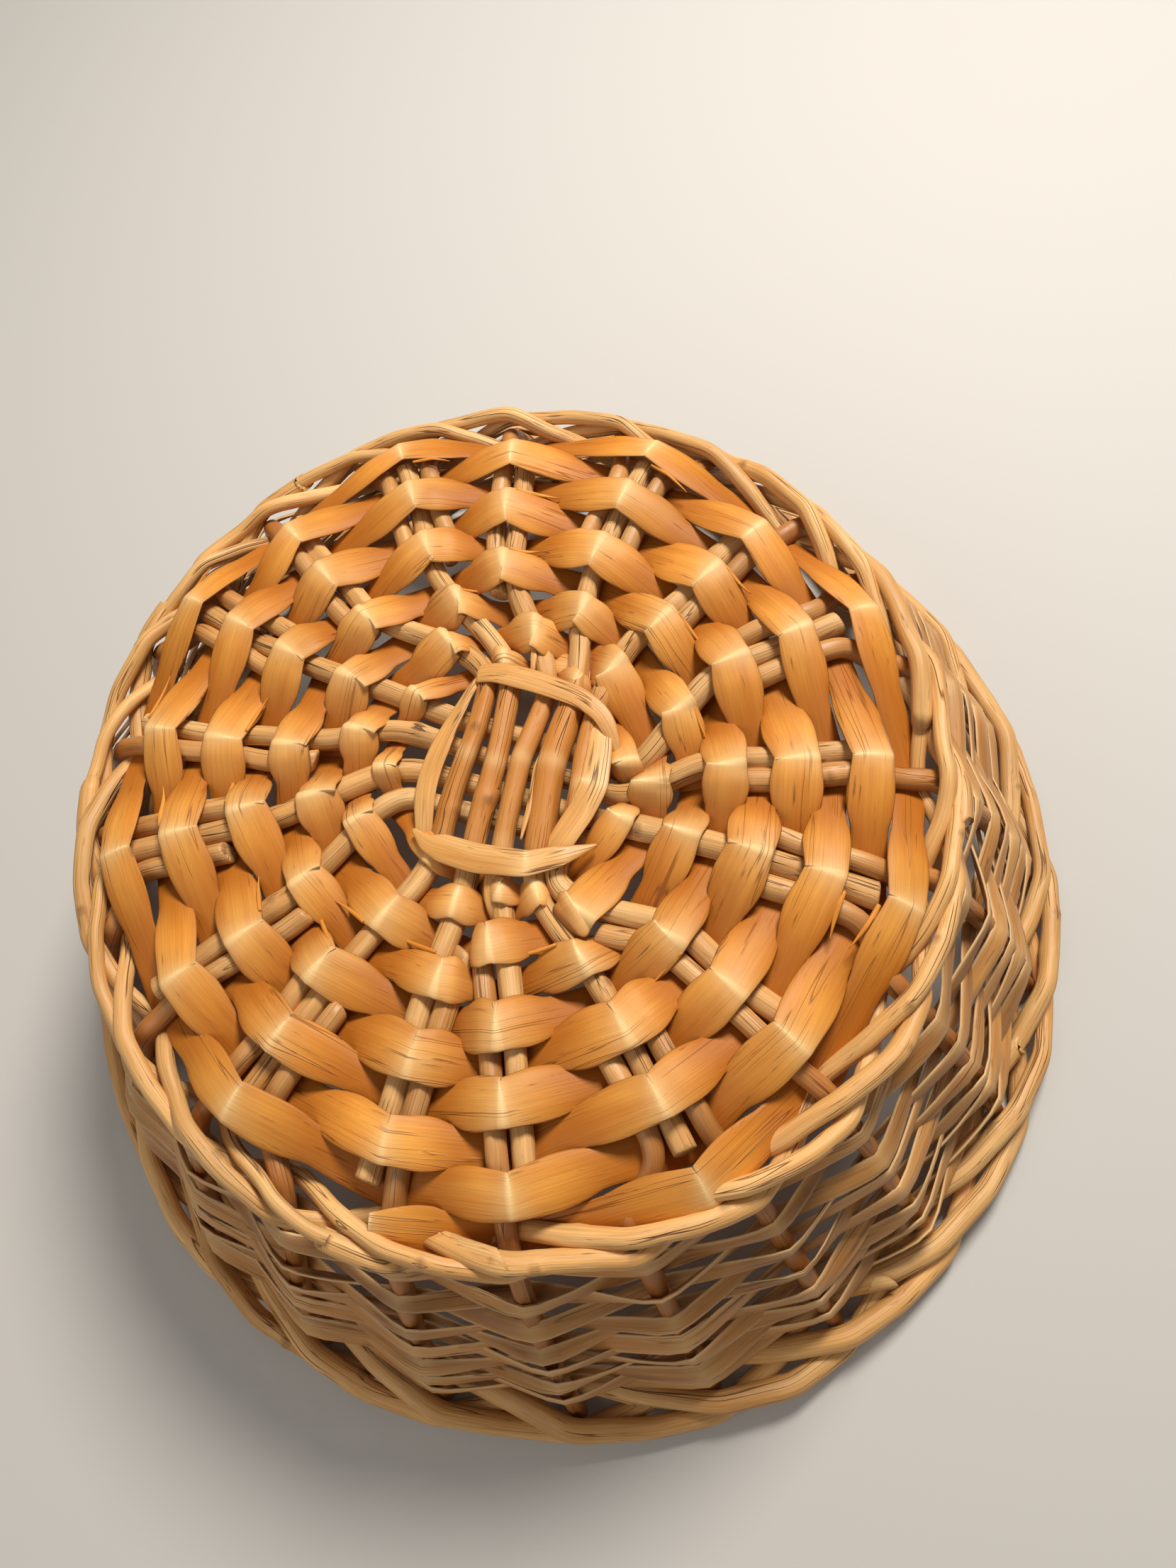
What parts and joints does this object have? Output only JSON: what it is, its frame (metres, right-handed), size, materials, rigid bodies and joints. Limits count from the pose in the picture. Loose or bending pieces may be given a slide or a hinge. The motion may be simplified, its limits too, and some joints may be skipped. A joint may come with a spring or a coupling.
{
  "type": "round willow basket",
  "caption": "Shallow round basket woven from willow, with a flat wheel-like base, a flared open-work wall and a roped border, stored mouth down.",
  "frame": {"origin": "middle of the mouth, in the plane that the border rests on", "axes": "+Z from the mouth to the base, square to both, so the basket stands mouth down as it is pictured; it is turned over for use; the oval's long way is along Y"},
  "size_m": [0.3224, 0.3417, 0.088],
  "materials": {
    "base_stick": "peeled willow rod, satin, split and cut square at the ends",
    "side_stake": "peeled willow rod, darker, satin",
    "base_skein": "flat split willow, satin with glossy creases",
    "binding": "flat split willow, satin",
    "rod": "thin peeled willow rod, satin with knots",
    "side_skein": "narrow split willow, light edges and darker faces"
  },
  "bodies": {
    "root": {"base_stick_1": "base_stick", "base_stick_2": "base_stick", "base_stick_3": "base_stick", "base_stick_4": "base_stick", "base_stick_5": "base_stick", "base_stick_6": "base_stick", "base_stick_7": "base_stick", "base_stick_8": "base_stick", "base_stick_9": "base_stick", "binding_1": "binding", "binding_2": "binding", "binding_3": "binding", "binding_4": "binding", "base_skein_1": "base_skein", "base_skein_2": "base_skein", "base_skein_3": "base_skein", "base_skein_4": "base_skein", "base_skein_5": "base_skein", "base_skein_6": "base_skein", "side_stake_1": "side_stake", "side_stake_2": "side_stake", "side_stake_3": "side_stake", "side_stake_4": "side_stake", "side_stake_5": "side_stake", "side_stake_6": "side_stake", "side_stake_7": "side_stake", "side_stake_8": "side_stake", "side_stake_9": "side_stake", "side_stake_10": "side_stake", "side_stake_11": "side_stake", "side_stake_12": "side_stake", "side_stake_13": "side_stake", "side_stake_14": "side_stake", "side_stake_15": "side_stake", "side_stake_16": "side_stake", "side_stake_17": "side_stake", "side_stake_18": "side_stake", "side_stake_19": "side_stake", "side_stake_20": "side_stake", "side_stake_21": "side_stake", "side_stake_22": "side_stake", "side_stake_23": "side_stake", "side_stake_24": "side_stake", "side_stake_25": "side_stake", "side_skein_1": "side_skein", "side_skein_2": "side_skein", "side_skein_3": "side_skein", "side_skein_4": "side_skein", "side_skein_5": "side_skein", "side_skein_6": "side_skein", "side_skein_7": "side_skein", "side_skein_8": "side_skein", "side_skein_9": "side_skein", "side_skein_10": "side_skein", "edge_rod_1": "rod", "border_rod_1": "rod", "edge_rod_2": "rod", "border_rod_2": "rod", "edge_rod_3": "rod", "border_rod_3": "rod"}
  },
  "joints": []
}
